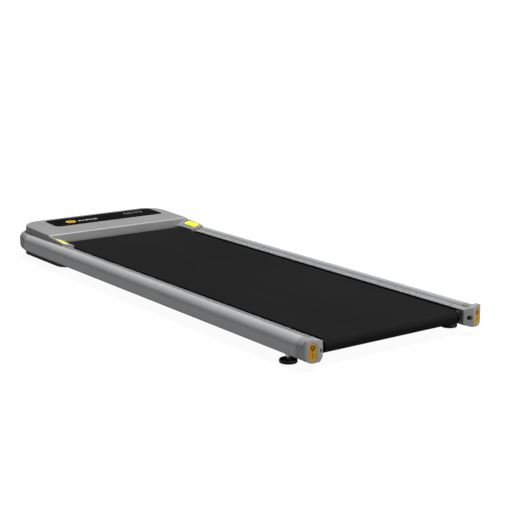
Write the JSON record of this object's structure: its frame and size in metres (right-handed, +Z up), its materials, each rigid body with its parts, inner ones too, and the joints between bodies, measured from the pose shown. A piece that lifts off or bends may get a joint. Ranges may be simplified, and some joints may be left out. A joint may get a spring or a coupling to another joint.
{
  "type": "under-desk treadmill",
  "caption": "Flat walking treadmill: endless belt over a deck between two grooved side rails, low motor hood with a display panel at the front, and adjustable feet at the rear.",
  "frame": {"origin": "centre of the footprint on the floor", "axes": "+Y runs from the rear end to the motor end, +X to the right of a person facing the motor end, +Z up"},
  "size_m": [0.5, 1.376, 0.0884],
  "materials": {
    "alloy": "satin anodised",
    "grey_plastic": "fine satin",
    "dark_grey_plastic": "fine matt",
    "black_plastic": "fine matt",
    "gloss_black": "high gloss",
    "yellow_reflector": "micro-prism",
    "amber": "gloss",
    "steel": "zinc plated",
    "chrome": "bright",
    "belt_rubber": "woven matt",
    "black_rubber": "matt",
    "deck_wood": "plain board",
    "board_green": "satin",
    "copper": "wound copper",
    "dark_steel": "dark paint"
  },
  "bodies": {
    "frame": {"left_rail": "alloy", "right_rail": "alloy", "left_end_cap": "grey_plastic", "right_end_cap": "grey_plastic", "end_cap_inserts": "amber", "left_frame_bar": "steel", "right_frame_bar": "steel", "cross_members": "steel", "deck_board": "deck_wood", "deck_cushions": "black_rubber", "deck_screws": "steel", "walking_belt": "belt_rubber", "front_axle": "steel", "front_axle_brackets": "steel", "motor_can": "dark_steel", "motor_end_bells": "alloy", "motor_bracket": "steel", "motor_screws": "steel", "drive_belt": "black_rubber", "controller_tray": "alloy", "controller_board": "board_green", "controller_cover": "black_plastic", "display_board": "board_green", "motor_lead": "black_rubber", "display_lead": "black_rubber", "mains_lead": "black_rubber", "speed_sensor": "black_plastic", "hood": "grey_plastic", "display_panel": "gloss_black", "left_reflector": "yellow_reflector", "right_reflector": "yellow_reflector", "hood_screws": "steel", "belly_tray": "dark_grey_plastic", "tray_screws": "steel", "front_bumper": "grey_plastic", "connection_panel": "black_plastic", "power_inlet": "black_plastic", "breaker_body": "black_plastic", "front_feet": "black_rubber", "wheel_axles": "steel", "rear_foot_nuts": "chrome", "axle_blocks": "steel", "end_cap_screws": "steel"},
    "front_roller": {"front_roller_tube": "steel", "front_roller_bearings": "steel", "roller_pulley": "black_plastic"},
    "motor_rotor": {"motor_shaft": "steel", "motor_core": "copper", "motor_pulley": "steel"},
    "rear_axle": {"rear_axle": "steel"},
    "rear_roller": {"rear_roller_tube": "dark_steel", "rear_roller_bearings": "steel"},
    "left_bolt": {"left_tension_bolt": "steel"},
    "right_bolt": {"right_tension_bolt": "steel"},
    "left_foot": {"left_foot": "black_rubber"},
    "right_foot": {"right_foot": "black_rubber"},
    "left_wheel": {"left_wheel": "black_plastic"},
    "right_wheel": {"right_wheel": "black_plastic"},
    "rocker": {"switch_rocker": "black_plastic"},
    "button": {"reset_button": "black_plastic"}
  },
  "joints": [
    {"name": "front_roller_spin", "type": "hinge", "parent": "frame", "child": "front_roller", "pos_m": [0, 0.524, 0.0385], "axis": [1, 0, 0], "continuous": true},
    {"name": "motor_spin", "type": "hinge", "parent": "frame", "child": "motor_rotor", "pos_m": [0, 0.606, 0.046], "axis": [1, 0, 0], "continuous": true},
    {"name": "rear_axle_slide", "type": "slide", "parent": "frame", "child": "rear_axle", "axis": [0, 1, 0], "range_m": [0, 0.008]},
    {"name": "rear_roller_spin", "type": "hinge", "parent": "rear_axle", "child": "rear_roller", "pos_m": [0, -0.6532, 0.042], "axis": [1, 0, 0], "continuous": true},
    {"name": "left_bolt_turn", "type": "hinge", "parent": "frame", "child": "left_bolt", "pos_m": [-0.2115, -0.66, 0.042], "axis": [0, 1, 0], "range_deg": [-2900, 0]},
    {"name": "right_bolt_turn", "type": "hinge", "parent": "frame", "child": "right_bolt", "pos_m": [0.2115, -0.66, 0.042], "axis": [0, 1, 0], "range_deg": [-2900, 0]},
    {"name": "left_foot_height", "type": "slide", "parent": "frame", "child": "left_foot", "axis": [0, 0, 1], "range_m": [-0.008, 0.006]},
    {"name": "right_foot_height", "type": "slide", "parent": "frame", "child": "right_foot", "axis": [0, 0, 1], "range_m": [-0.008, 0.006]},
    {"name": "left_wheel_spin", "type": "hinge", "parent": "frame", "child": "left_wheel", "pos_m": [-0.184, 0.64, 0.017], "axis": [1, 0, 0], "continuous": true},
    {"name": "right_wheel_spin", "type": "hinge", "parent": "frame", "child": "right_wheel", "pos_m": [0.184, 0.64, 0.017], "axis": [1, 0, 0], "continuous": true},
    {"name": "rocker_tip", "type": "hinge", "parent": "frame", "child": "rocker", "pos_m": [0.116, 0.679, 0.045], "axis": [1, 0, 0], "range_deg": [-8, 8]},
    {"name": "button_press", "type": "slide", "parent": "frame", "child": "button", "axis": [0, -1, 0], "range_m": [0, 0.0015], "stiffness_N_per_m": 600, "springref_m": -0.001}
  ],
  "couplings": [
    {"joint": "motor_spin", "follows": "front_roller_spin", "ratio": 2.5556},
    {"joint": "rear_roller_spin", "follows": "front_roller_spin", "ratio": 1.2414},
    {"joint": "left_bolt_turn", "follows": "rear_axle_slide", "rad_per_m": -6283.2},
    {"joint": "right_bolt_turn", "follows": "rear_axle_slide", "rad_per_m": -6283.2}
  ]
}
